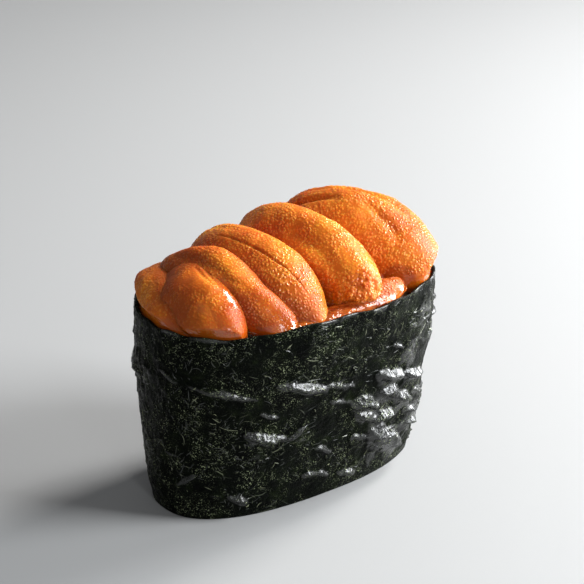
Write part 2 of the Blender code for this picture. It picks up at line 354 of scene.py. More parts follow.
def attribute_node(tree, label):
    """A number stored on the mesh's points."""
    node = tree.nodes.new("ShaderNodeAttribute")
    node.attribute_name = label
    return node.outputs["Fac"]


def bump_node(tree, shader, height, distance):
    """Fine relief for the shader, in metres, below what the mesh can carry."""
    node = tree.nodes.new("ShaderNodeBump")
    node.inputs["Distance"].default_value = distance
    node.inputs["Strength"].default_value = 1.0
    link(tree, height, node.inputs["Height"])
    link(tree, node.outputs["Normal"], shader.inputs["Normal"])


def set_subsurface(shader, weight, radius):
    """Lets light pass a few tenths of a millimetre to two millimetres in, further for red than for blue."""
    shader.inputs["Subsurface Weight"].default_value = weight
    shader.inputs["Subsurface Radius"].default_value = radius
    shader.inputs["Subsurface Scale"].default_value = 1.0


# %% [markdown]
# ## Seaweed band
# The band is one strip of toasted seaweed wrapped round the rice, narrow at the foot and flared at
# the rim. Its plan is a superellipse, an oval with fuller ends. Dried seaweed crinkles as it takes up
# moisture, in sharp little folds that run mostly level, so the relief is a ridged noise stretched
# sideways. The larger creases are ledges: each slopes evenly out to a lip and drops back under it. A
# slope that is even mirrors a light as one patch. They are placed one by one where they show, and the
# same ones again on the back.

# %% Band measures
BAND_HEIGHT = 33.0 * MM
BAND_WALL = 0.35 * MM
FOOT = (23.5 * MM, 11.6 * MM, 0.7 * MM)
WAIST = (25.2 * MM, 14.2 * MM, 0.0 * MM)
RIM = (25.5 * MM, 16.4 * MM, -0.7 * MM)
OVAL_POWER = 2.4
LAP_START = math.radians(28)
LAP_END = math.radians(62)
LAP_STEP = 0.35 * MM


def three_level(foot, waist, rim, share):
    """The parabola through foot, waist and rim: f(1-t)(1-2t) + 4w t(1-t) + r t(2t-1)."""
    lower = foot * (1 - share) * (1 - 2 * share)
    middle = waist * 4 * share * (1 - share)
    return lower + middle + rim * share * (2 * share - 1)


def oval(angle, height):
    """The band's oval: x = a cos(v) r, y = b sin(v) r + shift, r = (|cos v|^n + |sin v|^n)^(-1/n)."""
    share = np.clip(height / BAND_HEIGHT, 0, 1.02)
    half_length, half_width, shift = (three_level(*levels, share) for levels in zip(FOOT, WAIST, RIM))
    radius = (np.abs(np.cos(angle)) ** OVAL_POWER + np.abs(np.sin(angle)) ** OVAL_POWER) ** (-1 / OVAL_POWER)
    x = half_length * np.cos(angle) * radius
    y = half_width * np.sin(angle) * radius + shift
    return np.stack(np.broadcast_arrays(x, y, height), axis=-1)


def oval_outward(angle, height):
    """The level unit normal of the oval: its step round, turned a quarter right."""
    step = oval(angle + 1e-3, height) - oval(angle - 1e-3, height)
    normal = np.stack([step[..., 1], -step[..., 0], np.zeros_like(step[..., 0])], axis=-1)
    return normal / np.linalg.norm(normal, axis=-1, keepdims=True)


# %% Band relief
# Each crease: where its lip starts and ends, as the way round from the middle of the front and the
# height above the table, and the width of its face, all in millimetres.
CREASES = (
    (-26.0, 25.2, -15.0, 22.0, 1.0),
    (-12.4, 24.0, -3.0, 20.9, 1.4),
    (-4.0, 21.6, 0.8, 20.7, 0.8),
    (-17.2, 15.9, -9.6, 13.6, 1.3),
    (-9.8, 13.4, -6.6, 15.0, 0.9),
    (-8.2, 13.2, -6.2, 12.6, 0.5),
    (-16.2, 25.0, -13.2, 21.4, 0.4),
    (-13.4, 25.2, -10.6, 20.8, 0.4),
    (-2.8, 18.6, 2.4, 17.0, 0.9),
    (1.6, 17.2, 7.6, 14.8, 1.6),
    (3.0, 14.4, 8.0, 12.2, 1.7),
    (6.8, 11.4, 11.8, 12.4, 1.6),
    (6.6, 10.0, 16.4, 4.2, 2.7),
    (6.2, 20.2, 13.2, 18.4, 1.7),
    (13.0, 18.2, 21.0, 15.4, 1.6),
    (7.8, 16.8, 12.6, 15.4, 1.7),
    (11.6, 14.6, 17.4, 12.2, 1.6),
    (17.4, 13.4, 23.0, 11.0, 1.3),
    (15.4, 10.8, 20.0, 8.8, 1.2),
    (16.6, 7.6, 22.0, 6.4, 1.2),
    (-31.0, 26.6, -26.4, 24.6, 0.8),
    (-30.0, 12.0, -26.0, 11.0, 0.7),
    (-28.0, 6.2, -24.0, 8.6, 1.0),
    (-22.4, 5.0, -20.0, 4.4, 0.5),
    (-19.5, 4.4, -15.6, 2.8, 1.1),
    (-4.4, 10.4, -0.6, 8.6, 1.0),
    (-6.4, 5.6, -0.4, 4.0, 1.1),
    (1.0, 3.8, 5.9, 2.0, 1.2),
    (2.8, 10.0, 6.6, 8.6, 1.0),
    (7.6, 7.0, 11.2, 5.6, 1.0),
    (-14.8, 19.4, -11.4, 18.0, 0.7),
    (9.2, 24.8, 12.2, 23.7, 0.8),
    (12.6, 27.4, 14.8, 26.4, 0.6),
    (22.5, 25.0, 30.0, 23.0, 1.2),
    (20.0, 29.0, 25.0, 27.6, 0.9),
    (3.6, 24.6, 5.4, 24.2, 0.5),
    (-0.5, 21.0, 2.4, 20.0, 0.6),
)
LEDGE_SLOPE = 0.95
LEDGE_LIMIT = 1.35
LEDGE_DROOP = 0.3
LEDGE_SINK = 0.2
UNDER_FALL = 2.2
CORNER_STEEPER = 0.30
END_EASIER = 0.60
ROUND_STEPS = 1441
BAND_COLUMNS = 540
OUTER_ROWS = 166
INNER_ROWS = 10


def arc_length(angle):
    """Millimetres round the band at its waist from the middle of the front, found by summing steps."""
    turns = np.linspace(0, 2 * np.pi, ROUND_STEPS)
    waist = oval(turns, np.full(ROUND_STEPS, BAND_HEIGHT / 2)) / MM
    lengths = np.concatenate([[0], np.cumsum(np.linalg.norm(np.diff(waist, axis=0), axis=1))])
    front = np.interp(1.5 * np.pi, turns, lengths)
    return np.interp(angle, turns, lengths) - front, lengths[-1]


def placed_creases(plain, angle):
    """Ledges: m (w - up) over a lip, m w exp(-2.2 down / w) under it, sunk by a bell of height w / 5.

    The slope m grows towards the corners of the front and eases off past them. What stands out
    further than the limit L is eased down to it by L tanh((h / L)^3)^(1/3).
    """
    arc, round_length = arc_length(angle)
    wobble = layered_noise(plain, 2.2 * MM, 91, 3) * 0.8
    uneven = np.clip(1.05 + 0.6 * layered_noise(plain, 1.6 * MM, 97, 2), 0.6, 1.2)
    total = np.zeros(plain.shape[:2])
    for side in (0, -1):
        place = arc - side * round_length / 2
        place = (place + round_length / 2) % round_length - round_length / 2
        for start, start_height, end, end_height, width in CREASES:
            share = (place - start) / (end - start)
            lip = start_height + (end_height - start_height) * share + wobble * min(1, width)
            up = plain[..., 2] / MM - lip
            reach = width * uneven * np.sin(np.pi * np.clip(share, 0, 1)) ** 0.5
            over_lip = np.clip(reach - up, 0, None)
            under_lip = reach * np.exp(UNDER_FALL * np.minimum(up, 0) / width)
            ledge = np.where(up > 0, over_lip, under_lip)
            ledge = ledge - LEDGE_SINK * reach * np.exp(-(((up - 0.4 * reach) / (reach + 0.1)) ** 2))
            total = np.maximum(total, ledge)
    to_corner = np.clip((np.abs(arc) - 3) / 8, 0, 1)
    past_corner = np.clip((np.abs(arc) - 15) / 8, 0, 1)
    steeper = CORNER_STEEPER * to_corner - END_EASIER * past_corner
    rise = total * (LEDGE_SLOPE + steeper)
    return LEDGE_LIMIT * np.tanh((rise / LEDGE_LIMIT) ** 3) ** (1 / 3) * MM


def crinkles(points):
    """Leaning folds: f = (1 - |noise|)^3, then (1 - |noise|)^4 read 0.7 mm times f lower, to overhang."""
    bend = np.stack([value_noise(points, 5 * MM, seed) for seed in (3, 5, 7)], axis=-1) * 1.6 * MM
    stretched = (points + bend) * np.array([0.40, 0.40, 1.0])
    first = (1 - np.abs(layered_noise(stretched, 2.4 * MM, 17, 2))) ** 3
    leaning = stretched - np.array([0, 0, 1]) * (first * 0.7 * MM)[..., None]
    folds = (1 - np.abs(layered_noise(leaning, 2.4 * MM, 17, 2))) ** 4
    patches = np.clip(0.35 + 1.5 * layered_noise(points, 7 * MM, 29, 2), 0.05, 1)
    right_end = 0.45 + 0.9 / (1 + np.exp(-(points[..., 0] / MM - 10) / 2.5))
    upper = np.clip((BAND_HEIGHT - points[..., 2]) / (9 * MM), 0.2, 1)
    fine = (1 - np.abs(value_noise(points + bend, 1.1 * MM, 61))) ** 3 * 0.14
    pebbles = np.clip(value_noise(points, 0.55 * MM, 67), 0, 1) * 0.10
    return (folds * patches * right_end * upper * 0.6 + (fine + pebbles) * (0.3 + patches)) * MM


def band_grid():
    """Outer wall up, rim over, inner wall down: rows of a closed tube, columns round the oval."""
    angle = np.linspace(0, 2 * np.pi, BAND_COLUMNS, endpoint=False)[None, :]
    waves = np.sin(3 * angle + 0.6) + 0.6 * np.sin(7 * angle + 2) + 0.5 * np.sin(19 * angle)
    rim = BAND_HEIGHT + 0.3 * MM * waves
    share = np.linspace(0, 1, OUTER_ROWS)[:, None]
    height = share * rim
    plain = oval(angle, height)
    outward = oval_outward(angle, height)
    swell = layered_noise(plain, 8 * MM, 41, 3) * 0.35 * MM
    grain = layered_noise(plain, 0.9 * MM, 53, 2) * 0.05 * MM
    lap = np.where((angle >= LAP_START) & (angle <= LAP_END), LAP_STEP, 0)
    lap = lap * np.clip((angle - LAP_START) / (0.25 * (LAP_END - LAP_START)), 0, 1)
    ledges = placed_creases(plain, angle)
    relief = ledges + crinkles(plain)
    fade = np.clip(share * 12, 0, 1)
    rise = (swell + grain) * fade + relief * (0.25 + 0.75 * fade) + lap
    outer = plain + outward * rise[..., None]
    outer[..., 2] = outer[..., 2] - LEDGE_DROOP * ledges * fade
    shares_down = np.linspace(1, 0, INNER_ROWS)[:, None]
    inner_height = shares_down * rim
    inner = oval(angle, inner_height) - oval_outward(angle, inner_height) * BAND_WALL
    inner = inner + (oval_outward(angle, inner_height) * (swell[-1:] * shares_down)[..., None])
    moist = np.clip(layered_noise(plain, 2.5 * MM, 43, 2) * 2, 0, 0.6)
    wet_rim = np.exp(-(((height - rim) / (0.7 * MM)) ** 2)) * moist
    shiny = np.maximum(relief / (0.85 * MM), ledges / (0.50 * MM))
    ridge = np.vstack([np.clip(shiny + wet_rim, 0, 1), np.zeros((INNER_ROWS, BAND_COLUMNS))])
    return np.concatenate([outer, inner]), ridge


# %% [markdown]
# Seaweed is nearly black with a green cast, and specks of olive lie in it, close together in some
# places and far apart in others: one fine noise draws them and two coarser ones thin them out. The
# flat sheet is dull with a pebbled bump. Where the mesh says that a ledge stands out, it is pressed
# smoother and shines, so the ledges turn white where they mirror a light and stay black elsewhere.

# %% Seaweed finish
SPECK_OLIVE = (0.240, 0.280, 0.150)
LEDGE_ROUGHNESS = 0.22
FLAT_GLOSS = 0.03
LEDGE_GLOSS = 0.58
PEBBLE_HEIGHT = 0.13 * MM


def seaweed_finish():
    """Black-green ground with olive specks, dull on the flat and glossy on the ledges."""
    material, tree, shader, coordinates = new_finish("toasted_seaweed")
    ground = ramp_node(tree, noise_node(tree, coordinates, 330, 5, 0.7), [
        (0.36, (0.0006, 0.0009, 0.0007)),
        (0.54, (0.0020, 0.0030, 0.0016)),
        (0.70, (0.0070, 0.0105, 0.0035)),
    ])
    patches = ramp_node(tree, noise_node(tree, coordinates, 210, 3), [(0.44, grey(0.03)), (0.60, grey(1))])
    fine = ramp_node(tree, noise_node(tree, coordinates, 4600, 2), [(0.57, grey(0)), (0.65, grey(1))])
    tufts = ramp_node(tree, noise_node(tree, coordinates, 1100, 2), [(0.44, grey(0.10)), (0.58, grey(1))])
    spread = mix_colours(tree, 1.0, patches, tufts, "MULTIPLY")
    specks = mix_colours(tree, 1.0, fine, spread, "MULTIPLY")
    link(tree, mix_colours(tree, specks, ground, SPECK_OLIVE), shader.inputs["Base Color"])
    ridge = attribute_node(tree, "ridge")
    dull = ramp_node(tree, noise_node(tree, coordinates, 600, 4), [(0.38, grey(0.22)), (0.62, grey(0.45))])
    sleek = ramp_node(tree, ridge, [(0.20, grey(0)), (0.60, grey(1))])
    link(tree, mix_colours(tree, sleek, dull, grey(LEDGE_ROUGHNESS)), shader.inputs["Roughness"])
    shine = ramp_node(tree, ridge, [(0.32, grey(FLAT_GLOSS)), (0.62, grey(LEDGE_GLOSS))])
    gloss = arithmetic(tree, "ADD", arithmetic(tree, "MULTIPLY", specks, 0.35), shine)
    link(tree, gloss, shader.inputs["Specular IOR Level"])
    grit = arithmetic(tree, "MULTIPLY", fine, 0.5)
    pebbles = arithmetic(tree, "ADD", noise_node(tree, coordinates, 1800, 3), grit)
    pressed = ramp_node(tree, ridge, [(0.25, grey(1)), (0.65, grey(0.45))])
    bump_node(tree, shader, arithmetic(tree, "MULTIPLY", pebbles, pressed), PEBBLE_HEIGHT)
    return material


band_points, band_ridge = band_grid()
band_maps = {"ridge": band_ridge}
add_piece("seaweed", band_points, seaweed_finish(), ["seaweed_band"], band_maps, wrap_rows=True)


# %% [markdown]
# The pressed sheet is a felt of fine weed, and single strands of it lie on the surface in tufts: thin,
# curved, up to three millimetres long but mostly shorter than one, olive to grey. Each is a ribbon of
# six points that wanders over the wall, so it is bent in the wall's own two coordinates and lifted a
# hair's breadth off it. All of them are one mesh, worked out in one go.

# %% Strands of weed
STRAND_COUNT = 7000
STRAND_STEPS = 6
STRAND_LIFT = 0.03 * MM
STRAND_RIDGE = 0.02 * MM
STRAND_SEED = 11
WALL_LENGTH_MM = 134
WALL_HEIGHT_MM = 33


def on_wall(columns, rows):
    """Points and normals of the outer wall at fractions of its grid, blended from the four nearest."""
    outer = band_points[:OUTER_ROWS]
    normals = grid_normals(outer)
    column = np.floor(columns).astype(int)
    row = np.clip(np.floor(rows).astype(int), 0, OUTER_ROWS - 2)
    u = (columns - column)[..., None]
    v = np.clip(rows - row, 0, 1)[..., None]
    column = column % outer.shape[1]
    following = (column + 1) % outer.shape[1]
    sampled = []
    for field in (outer, normals):
        lower = field[row, column] * (1 - u) + field[row, following] * u
        upper = field[row + 1, column] * (1 - u) + field[row + 1, following] * u
        sampled.append(lower * (1 - v) + upper * v)
    return sampled


def strand_lines(draw):
    """Lines over the wall, in tufts, whose heading turns at a steady rate: heading = h0 + k t."""
    columns = draw.uniform(0, BAND_COLUMNS, STRAND_COUNT)
    rows = draw.uniform(2, OUTER_ROWS - 3, STRAND_COUNT)
    starts = on_wall(columns, rows)[0]
    tufts = layered_noise(starts, 3.5 * MM, 71, 2) > draw.normal(0.02, 0.16, STRAND_COUNT)
    columns, rows = columns[tufts, None], rows[tufts, None]
    count = len(columns)
    length = draw.gamma(1.8, 0.42, (count, 1)).clip(0.2, 3.0)
    heading = draw.normal(0, 0.9, (count, 1))
    bend = draw.normal(0, 0.9, (count, 1))
    headings = heading + bend * np.linspace(0, 1, STRAND_STEPS)
    step = length / (STRAND_STEPS - 1)
    along = np.cumsum(np.cos(headings) * step, axis=1) * (BAND_COLUMNS / WALL_LENGTH_MM)
    up = np.cumsum(np.sin(headings) * step, axis=1) * (OUTER_ROWS / WALL_HEIGHT_MM)
    return on_wall(columns + along, np.clip(rows + up, 1, OUTER_ROWS - 2.5))


def strand_ribbons(draw, centres, normals):
    """Three points at each step: the line lifted off the wall, and w (0.35 + sin(pi t)) to each side."""
    count = len(centres)
    outward = unit(normals)
    level = unit(np.cross(normals, unit(np.gradient(centres, axis=1))))
    twist = draw.normal(0, 0.5, (count, 1, 1))
    side = level * np.cos(twist) + outward * np.sin(twist)
    swelling = 0.35 + np.sin(np.pi * np.linspace(0, 1, STRAND_STEPS))
    half_width = draw.uniform(0.025, 0.075, (count, 1)) * swelling * MM
    lifted = centres + outward * STRAND_LIFT
    edges = side * half_width[..., None]
    return np.stack([lifted - edges, lifted + outward * STRAND_RIDGE, lifted + edges], axis=2)


def add_strands():
    """All strands as one mesh, with one shade for each strand stored on its points."""
    draw = np.random.default_rng(STRAND_SEED)
    ribbons = strand_ribbons(draw, *strand_lines(draw))
    count = len(ribbons)
    base = (np.arange(count) * STRAND_STEPS * 3)[:, None, None]
    cell = (np.arange(STRAND_STEPS - 1) * 3)[None, :, None] + np.arange(2)[None, None, :] + base
    quads = np.stack([cell, cell + 3, cell + 4, cell + 1], axis=-1).reshape(-1, 4)
    mesh = bpy.data.meshes.new("seaweed_strands")
    mesh.from_pydata(ribbons.reshape(-1, 3).tolist(), [], [tuple(quad) for quad in quads.tolist()])
    shade = np.repeat(draw.uniform(0, 1, count), STRAND_STEPS * 3).astype(np.float32)
    mesh.attributes.new("shade", "FLOAT", "POINT").data.foreach_set("value", shade)
    place_mesh(mesh, strand_finish())
    print("strands:", count)


def strand_finish():
    """From black-green to pale olive, one shade a strand, with a soft gloss."""
    material, tree, shader, coordinates = new_finish("seaweed_strand")
    shades = ramp_node(tree, attribute_node(tree, "shade"), [
        (0.40, (0.003, 0.005, 0.003)),
        (0.75, (0.050, 0.062, 0.026)),
        (1.00, (0.300, 0.320, 0.190)),
    ])
    grain = noise_node(tree, coordinates, 1500, 2)
    link(tree, mix_colours(tree, grain, shades, (0.012, 0.016, 0.010)), shader.inputs["Base Color"])
    shader.inputs["Roughness"].default_value = 0.25
    return material


add_strands()

# %% [markdown]
# ## Rice
# The rice shows only from below, and through the gaps between the lobes. A core fills the band, and
# real grains lie over its foot and over its domed top: plump spindles, each a dozen rows of a dozen
# points, pressed against their neighbours. The grains of a side are one mesh from one array, placed
# by a rule and turned by a seeded draw.

# %% Rice
GRAIN_LENGTH = 5.2 * MM
GRAIN_WIDTH = 2.4 * MM
RICE_EDGE = 29.0 * MM
RICE_DOME = 4.5 * MM
CORE_FOOT = 1.3 * MM
GRAIN_SEED = 3
FOOT_RING = 24
TOP_RING = 26
RING_JITTER = 0.03


def rice_core_grid():
    """Rings up the wall, then over a domed top: radius share s lifts the top by d(1 - s^2)."""
    angle = np.linspace(0, 2 * np.pi, 160, endpoint=False)[None, :]
    inset = BAND_WALL + 0.35 * MM
    heights = np.linspace(CORE_FOOT, RICE_EDGE, 40)[:, None]
    wall = oval(angle, heights) - oval_outward(angle, heights) * inset
    middle = np.array([0, FOOT[2], 0])
    foot = [wall[0] * share + middle * (1 - share) for share in (0.05, 0.35, 0.65, 0.9)]
    foot = np.stack(foot)
    foot[..., 2] = CORE_FOOT
    shares = np.linspace(0.97, 0.02, 24)[:, None, None]
    top = wall[-1][None] * shares
    top[..., 2] = RICE_EDGE + RICE_DOME * (1 - shares[..., 0] ** 2)
    grid = np.concatenate([foot, wall, top])
    bumps = np.clip(0.75 - cell_noise(grid * np.array([0.55, 1, 1]), GRAIN_WIDTH, 5), -0.2, 1)
    return grid + np.array([0, 0, 1]) * (bumps * 0.4 * MM)[..., None] * (grid[..., 2:] > RICE_EDGE)


def foot_seats():
    """A row of grains round the wall, then staggered rows, as rows of x, y, z, turn and tilt."""
    draw = np.random.default_rng(GRAIN_SEED)
    jitter = draw.uniform(-RING_JITTER, RING_JITTER, FOOT_RING)
    turns = np.linspace(0, 2 * np.pi, FOOT_RING, endpoint=False) + jitter
    level = np.zeros(FOOT_RING)
    outward = oval_outward(turns, level)
    foot = oval(turns, level) - outward * (BAND_WALL + GRAIN_WIDTH * 0.52)
    headings = np.arctan2(outward[:, 0], -outward[:, 1])
    seats = [np.column_stack([foot[:, 0], foot[:, 1], headings])]
    rows = np.arange(-6, 7)
    columns = np.arange(-6, 7)
    row, column = (part.ravel() for part in np.meshgrid(rows, columns, indexing="ij"))
    x = (column + 0.5 * (row % 2)) * GRAIN_LENGTH * 0.86 + draw.uniform(-0.6, 0.6, row.size) * MM
    y = FOOT[2] + row * GRAIN_WIDTH * 0.8 + draw.uniform(-0.25, 0.25, row.size) * MM
    turn = draw.uniform(-0.55, 0.55, row.size)
    lengthwise = np.abs(x / (FOOT[0] - 4.6 * MM)) ** OVAL_POWER
    widthwise = np.abs((y - FOOT[2]) / (FOOT[1] - 3.4 * MM)) ** OVAL_POWER
    seats.append(np.column_stack([x, y, turn])[lengthwise + widthwise < 1])
    places = np.concatenate(seats)
    height = np.full(len(places), GRAIN_WIDTH / 2 + 0.15 * MM)
    tilt = draw.uniform(-0.12, 0.12, len(places))
    return np.column_stack([places[:, :2], height, places[:, 2], tilt])


def top_seats():
    """A ring along the wall, then grains strewn over the dome at edge + dome * (1 - s^2)."""
    draw = np.random.default_rng(GRAIN_SEED + 7)
    jitter = draw.uniform(-RING_JITTER, RING_JITTER, TOP_RING)
    turns = np.linspace(0, 2 * np.pi, TOP_RING, endpoint=False) + jitter
    level = np.full(TOP_RING, RICE_EDGE)
    outward = oval_outward(turns, level)
    ring = oval(turns, level) - outward * (BAND_WALL + GRAIN_WIDTH * 0.6)
    ring_height = RICE_EDGE + draw.uniform(0.1, 0.9, TOP_RING) * MM
    headings = np.arctan2(outward[:, 0], -outward[:, 1])
    ring_tilt = draw.normal(0, 0.1, TOP_RING)
    edge = np.column_stack([ring[:, 0], ring[:, 1], ring_height, headings, ring_tilt])
    row, column = (part.ravel() for part in np.meshgrid(np.arange(-8, 9), np.arange(-9, 10), indexing="ij"))
    x = (column + 0.5 * (row % 2)) * GRAIN_LENGTH * 0.58 + draw.uniform(-0.7, 0.7, row.size) * MM
    y = row * GRAIN_WIDTH * 0.82 + draw.uniform(-0.5, 0.5, row.size) * MM
    power = np.abs(x / (RIM[0] - 4.6 * MM)) ** OVAL_POWER + np.abs(y / (RIM[1] - 4.2 * MM)) ** OVAL_POWER
    share = np.minimum(power, 1) ** (1 / OVAL_POWER)
    height = RICE_EDGE + RICE_DOME * (1 - share**2) + draw.uniform(-0.2, 0.6, row.size) * MM
    turn = draw.uniform(0, np.pi, row.size)
    tilt = draw.normal(0, 0.16, row.size)
    strewn = np.column_stack([x, y, height, turn, tilt])[power < 1]
    return np.concatenate([edge, strewn])


def rice_grain(rows=11, columns=12):
    """A spindle: radius sin(u)^0.7 about an axis bent a little, a touch flatter than round."""
    u = np.linspace(0.06, np.pi - 0.06, rows)[:, None]
    v = np.linspace(0, 2 * np.pi, columns, endpoint=False)[None, :]
    x = -np.cos(u) * GRAIN_LENGTH / 2 + 0 * v
    radius = GRAIN_WIDTH / 2 * np.sin(u) ** 0.7
    y = radius * np.cos(v) + 0.12 * MM * np.cos(2 * u)
    z = radius * 0.92 * np.sin(v) + 0 * u
    return np.stack([x, y, z], axis=-1)


def add_grains(name, seats, material):
    """One mesh of many grains: the spindle sized, tilted, turned by z' = z + x sin(tilt) and moved."""
    draw = np.random.default_rng(GRAIN_SEED + 1)
    shape = rice_grain()
    rows, columns = shape.shape[:2]
    size = draw.uniform(0.86, 1.04, (len(seats), 1, 1, 1))
    tilt = seats[:, 4, None, None]
    grains = shape[None] * size
    x = grains[..., 0]
    z = grains[..., 2] + x * np.sin(tilt)
    cosine, sine = (part[:, None, None] for part in (np.cos(seats[:, 3]), np.sin(seats[:, 3])))
    placed = np.stack([
        x * cosine - grains[..., 1] * sine + seats[:, 0, None, None],
        x * sine + grains[..., 1] * cosine + seats[:, 1, None, None],
        z + seats[:, 2, None, None],
    ], axis=-1)
    placed[..., 2] = np.maximum(placed[..., 2], 0.05 * MM)
    sides = grid_faces(rows, columns)
    first_end = np.arange(columns)[::-1]
    last_end = np.arange(columns) + (rows - 1) * columns
    steps = np.arange(len(seats)) * rows * columns
    faces = [tuple(face) for step in steps for face in (sides + step).tolist()]
    faces += [tuple((end + step).tolist()) for step in steps for end in (first_end, last_end)]
    mesh = bpy.data.meshes.new(name)
    mesh.from_pydata(placed.reshape(-1, 3).tolist(), [], faces)
    place_mesh(mesh, material)
    print(name, "grains:", len(seats))


def rice_finish():
    """Moist cooked rice: milky white, faintly cream, with light passing a little way in."""
    material, tree, shader, coordinates = new_finish("cooked_rice")
    tint = ramp_node(tree, noise_node(tree, coordinates, 500, 3), [
        (0.35, (0.74, 0.70, 0.60)),
        (0.65, (0.86, 0.83, 0.75)),
    ])
    link(tree, tint, shader.inputs["Base Color"])
    shader.inputs["Roughness"].default_value = 0.32
    set_subsurface(shader, 0.4, (0.0012, 0.0010, 0.0008))
    bump_node(tree, shader, noise_node(tree, coordinates, 2600, 2), 0.04 * MM)
    return material


rice_material = rice_finish()
add_piece("rice_core", rice_core_grid(), rice_material, ["rice_block"], caps=True)
add_grains("rice_foot_grains", foot_seats(), rice_material)
add_grains("rice_top_grains", top_seats(), rice_material)

# %% [markdown]
# ## Sea urchin lobes
# A lobe is a soft tongue, domed above and flat below, that droops over the rice to the band's rim. Its
# skin is covered with tiny rounded grains half a millimetre apart, which sparkle when wet. Each lobe
# is flattened rings carried along a smooth line through five points, with slow swells, a lean to one
# side and a groove or two, and the grains are raised on top from cell noise, so that they never
# stretch. Juice has wetted the skin along a few paths and all along the rim, where the grains lie
# under it. The lobe that is torn at its front end is ragged there.

# %% Lobe measures
# A lobe's line goes from the back to the front, and its half width and half thickness are in
# millimetres too. Roll is in degrees, grain is the height of its grains against the usual, and a
# groove is its angle, depth, width, start and end along the lobe, and drift of the angle.
LOBES = {
    "lobe_left_end": dict(
        line=(
            (-12.8, 13.4, 31.2), (-16.8, 9.8, 33.6), (-19.6, 4.0, 33.7),
            (-20.4, -2.8, 32.7), (-19.4, -9.6, 30.4),
        ),
        half_width=5.0, half_thickness=3.7, roll=8, grain=0.6, seed=101,
    ),
    "lobe_front_left": dict(
        line=(
            (-15.0, 6.4, 33.4), (-17.2, 2.4, 35.4), (-18.4, -2.2, 35.5),
            (-18.9, -7.2, 34.3), (-18.0, -12.6, 31.4),
        ),
        half_width=5.0, half_thickness=3.9, roll=12, grain=0.5, seed=202, lean=0.25,
        grooves=((1.15, 0.25, 0.10, 0.3, 0.7, 0.1), (1.4, 0.2, 0.08, 0.35, 0.65, 0.1)),
    ),
    "lobe_crossing": dict(
        line=(
            (-16.0, 11.4, 32.3), (-15.0, 6.0, 35.8), (-13.6, -0.9, 37.0),
            (-12.6, -8.4, 34.7), (-9.2, -15.8, 31.0),
        ),
        half_width=4.3, half_thickness=4.2, roll=16, grain=0.75, seed=303, lean=0.15,
        grooves=((1.9, 0.4, 0.2, 0.25, 0.70, 0.2),),
    ),
    "lobe_middle": dict(
        line=(
            (-4.8, 14.2, 31.2), (-6.6, 9.4, 35.8), (-6.5, 0.9, 37.2),
            (-6.0, -8.1, 35.5), (-5.8, -16.0, 31.0),
        ),
        half_width=5.7, half_thickness=4.9, roll=14, grain=1.1, seed=404, lean=0.18,
        grooves=((1.95, 0.30, 0.035, 0.38, 0.86, -0.8), (1.45, 0.2, 0.14, 0.10, 0.5, 0.3)),
    ),
    "lobe_right": dict(
        line=(
            (3.0, 15.0, 31.8), (3.6, 9.8, 36.9), (4.6, 1.3, 38.0),
            (4.7, -8.1, 35.6), (4.0, -15.6, 32.2),
        ),
        half_width=5.5, half_thickness=4.9, roll=14, grain=1.1, seed=505, lean=0.14, front=5, tear=0.7,
        grooves=((2.2, 0.45, 0.22, 0.35, 0.90, -0.3),),
    ),
    "lobe_right_end": dict(
        line=(
            (10.2, 14.4, 31.4), (12.9, 9.8, 37.0), (16.3, 1.7, 37.6),
            (17.9, -6.1, 35.2), (17.2, -13.2, 31.8),
        ),
        half_width=7.2, half_thickness=5.2, roll=8, grain=1.1, seed=606, lean=0.22,
        grooves=(
            (1.35, 0.55, 0.14, 0.20, 0.75, -0.35),
            (2.05, 1.3, 0.09, 0.02, 0.42, -0.5),
            (1.75, 0.45, 0.12, 0.50, 0.80, 0.6),
        ),
    ),
    "lobe_fragment": dict(
        line=(
            (-6.2, -13.5, 29.8), (-1.0, -13.9, 30.2), (4.5, -13.9, 31.6),
            (9.5, -13.0, 32.8), (14.2, -11.3, 32.8),
        ),
        half_width=2.8, half_thickness=2.2, roll=0, grain=0.9, seed=707,
    ),
}
# Wet paths: stations in millimetres, then the path's half width.
WET_PATHS = (
    (((-14.0, -8.0, 38.3), (-13.0, -11.3, 37.0), (-11.9, -13.6, 35.0), (-9.8, -15.4, 33.2)), 0.7),
    (((-21.5, -7.5, 37.0), (-20.5, -10.5, 36.0), (-19.6, -12.8, 34.6)), 0.9),
    (((3.5, -13.5, 36.5), (6.5, -12.0, 37.0), (8.5, -9.0, 37.5)), 1.2),
    (((-16.2, -5.2, 38.9), (-16.7, -7.6, 38.4), (-17.2, -9.8, 37.0)), 1.0),
    (((4.2, -9.3, 40.1), (3.6, -12.0, 39.1), (3.0, -13.8, 37.8)), 0.8),
)
WET_EDGE = dict(
    line=(
        (-15.0, -12.6, 31.6), (-8.0, -14.3, 32.0), (0.5, -14.4, 32.4),
        (8.5, -13.4, 32.6), (14.5, -11.6, 32.2),
    ),
    half_width=2.8, half_thickness=1.5, roll=-8, grain=0.35, seed=808, rings=240, sides=100,
)
GRAIN_SPACING = 0.42 * MM
BEAD_SHARE = 0.47
BEAD_HEIGHT = 0.095 * MM
OVERHANG = 0.045
LOBE_RINGS = 400
LOBE_SIDES = 220
BACK_POWER = 2.6
TEAR_START = 0.82
TEAR_RUN = 0.10
JUICE_LEVEL_MM = 34.2


def smooth_line(points, share):
    """Catmull and Rom's cubic through the points, for an array of shares from 0 to 1."""
    knots = np.array(points, dtype=float)
    spans = len(knots) - 1
    padded = np.vstack([2 * knots[0] - knots[1], knots, 2 * knots[-1] - knots[-2]])
    place = np.minimum(share * spans, spans - 1e-9)
    index = place.astype(int)
    t = (place - index)[:, None]
    before, start, end, after = (padded[index + step] for step in range(4))
    return 0.5 * (
        2 * start + (end - before) * t + (2 * before - 5 * start + 4 * end - after) * t**2
        + (3 * start - before - 3 * end + after) * t**3
    )


